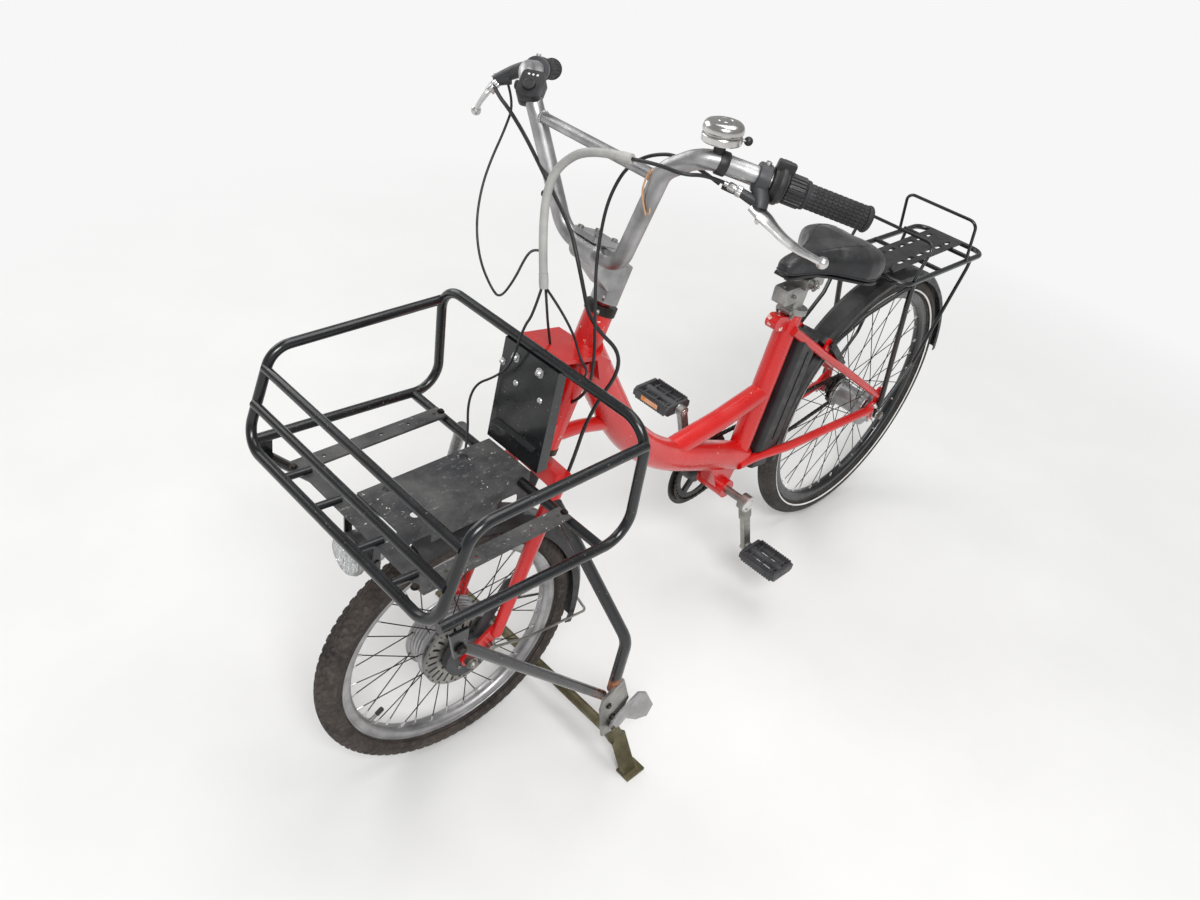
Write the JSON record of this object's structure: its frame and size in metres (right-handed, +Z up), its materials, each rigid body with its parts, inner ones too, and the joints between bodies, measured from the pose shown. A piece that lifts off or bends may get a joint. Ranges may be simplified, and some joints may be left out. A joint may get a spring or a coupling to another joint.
{
  "type": "electric bicycle",
  "caption": "Step-through electric load bicycle with a hub motor in the small front wheel, a tubular front carrier fixed to the frame and a wide folding front stand.",
  "frame": {"origin": "middle of the footprint, on the floor, in the bicycle's middle plane", "axes": "+X forward, +Y to the rider's left, +Z up"},
  "size_m": [1.7768, 0.6834, 1.1886],
  "materials": {
    "red_paint": "gloss paint, chipped",
    "black_paint": "black powder coat, worn",
    "grey_sheet": "scuffed grey sheet",
    "olive_steel": "olive coated steel, rusty edges",
    "satin_alloy": "satin silver",
    "bright_alloy": "polished",
    "plain_steel": "plain steel, dull",
    "dark_steel": "dark steel",
    "tyre": "dusty tyre rubber",
    "grip_rubber": "black rubber",
    "black_plastic": "black plastic",
    "grey_plastic": "dark grey plastic",
    "pale_plastic": "light grey sleeve",
    "saddle_cover": "soft black cover",
    "lamp_lens": "clear lens",
    "chrome": "chrome"
  },
  "bodies": {
    "frame": {"main_frame": "red_paint", "head_bracket": "red_paint", "chain_stays": "red_paint", "seat_stays": "red_paint", "headset": "dark_steel", "seat_post": "satin_alloy", "saddle": "saddle_cover", "battery": "black_plastic", "battery_dock": "black_plastic", "rear_mudguard": "black_plastic", "rear_rack": "black_paint", "rack_deck": "black_plastic", "rack_bails": "black_paint", "ring_lock": "black_plastic", "rear_axle": "plain_steel", "chain": "dark_steel", "carrier_rear_hoop": "black_paint", "carrier_front_loop": "black_paint", "carrier_cross_tubes": "black_paint", "carrier_strips": "grey_sheet", "carrier_tray": "grey_sheet", "back_panel": "black_paint", "headlamp": "satin_alloy", "headlamp_lens": "lamp_lens", "headlamp_bracket": "black_paint", "stand_rear_legs": "black_paint", "stand_front_legs": "black_paint", "stand_plates": "plain_steel"},
    "steering": {"fork": "red_paint", "front_axle": "plain_steel", "stem": "satin_alloy", "handlebar": "satin_alloy", "grips": "grip_rubber", "twist_shifter": "grey_plastic", "brake_perches": "grey_plastic", "brake_levers": "bright_alloy", "bell": "chrome", "switch_box": "black_plastic", "front_mudguard": "black_plastic", "front_stay": "plain_steel", "front_brake": "grey_plastic", "cable_sleeve": "pale_plastic", "bar_cables": "black_plastic"},
    "front_wheel": {"front_tyre": "tyre", "front_rim": "satin_alloy", "front_spokes": "dark_steel", "hub_motor": "satin_alloy", "brake_disc": "plain_steel"},
    "rear_wheel": {"rear_tyre": "tyre", "rear_rim": "black_paint", "rear_spokes": "dark_steel", "rear_hub": "satin_alloy", "sprocket": "dark_steel"},
    "crank": {"crank_set": "plain_steel", "chainring": "black_plastic"},
    "pedal_left": {"pedal_left": "grey_plastic"},
    "pedal_right": {"pedal_right": "grey_plastic"},
    "stand": {"stand_feet": "olive_steel", "stand_tab": "satin_alloy"}
  },
  "joints": [
    {"name": "steering_turn", "type": "hinge", "parent": "frame", "child": "steering", "pos_m": [0.4528, 0, 0.7], "axis": [-0.3333, 0, 0.9428], "range_deg": [-39.59, 50.41], "deforming": ["cable_sleeve", "bar_cables"]},
    {"name": "front_wheel_spin", "type": "hinge", "parent": "steering", "child": "front_wheel", "pos_m": [0.64487, -0.00294, 0.24995], "axis": [0.0889, 0.9955, 0.0314], "continuous": true},
    {"name": "rear_wheel_spin", "type": "hinge", "parent": "frame", "child": "rear_wheel", "pos_m": [-0.545, 0, 0.326], "axis": [0, 1, 0], "continuous": true},
    {"name": "crank_spin", "type": "hinge", "parent": "frame", "child": "crank", "pos_m": [-0.048, 0, 0.29], "axis": [0, 1, 0], "continuous": true},
    {"name": "pedal_left_spin", "type": "hinge", "parent": "crank", "child": "pedal_left", "pos_m": [-0.10713, 0.143, 0.13596], "axis": [0, 1, 0], "continuous": true},
    {"name": "pedal_right_spin", "type": "hinge", "parent": "crank", "child": "pedal_right", "pos_m": [0.01113, -0.143, 0.44404], "axis": [0, 1, 0], "continuous": true},
    {"name": "stand_fold", "type": "hinge", "parent": "frame", "child": "stand", "pos_m": [0.485, 0, 0.15], "axis": [0, 1, 0], "range_deg": [0, 60]}
  ]
}
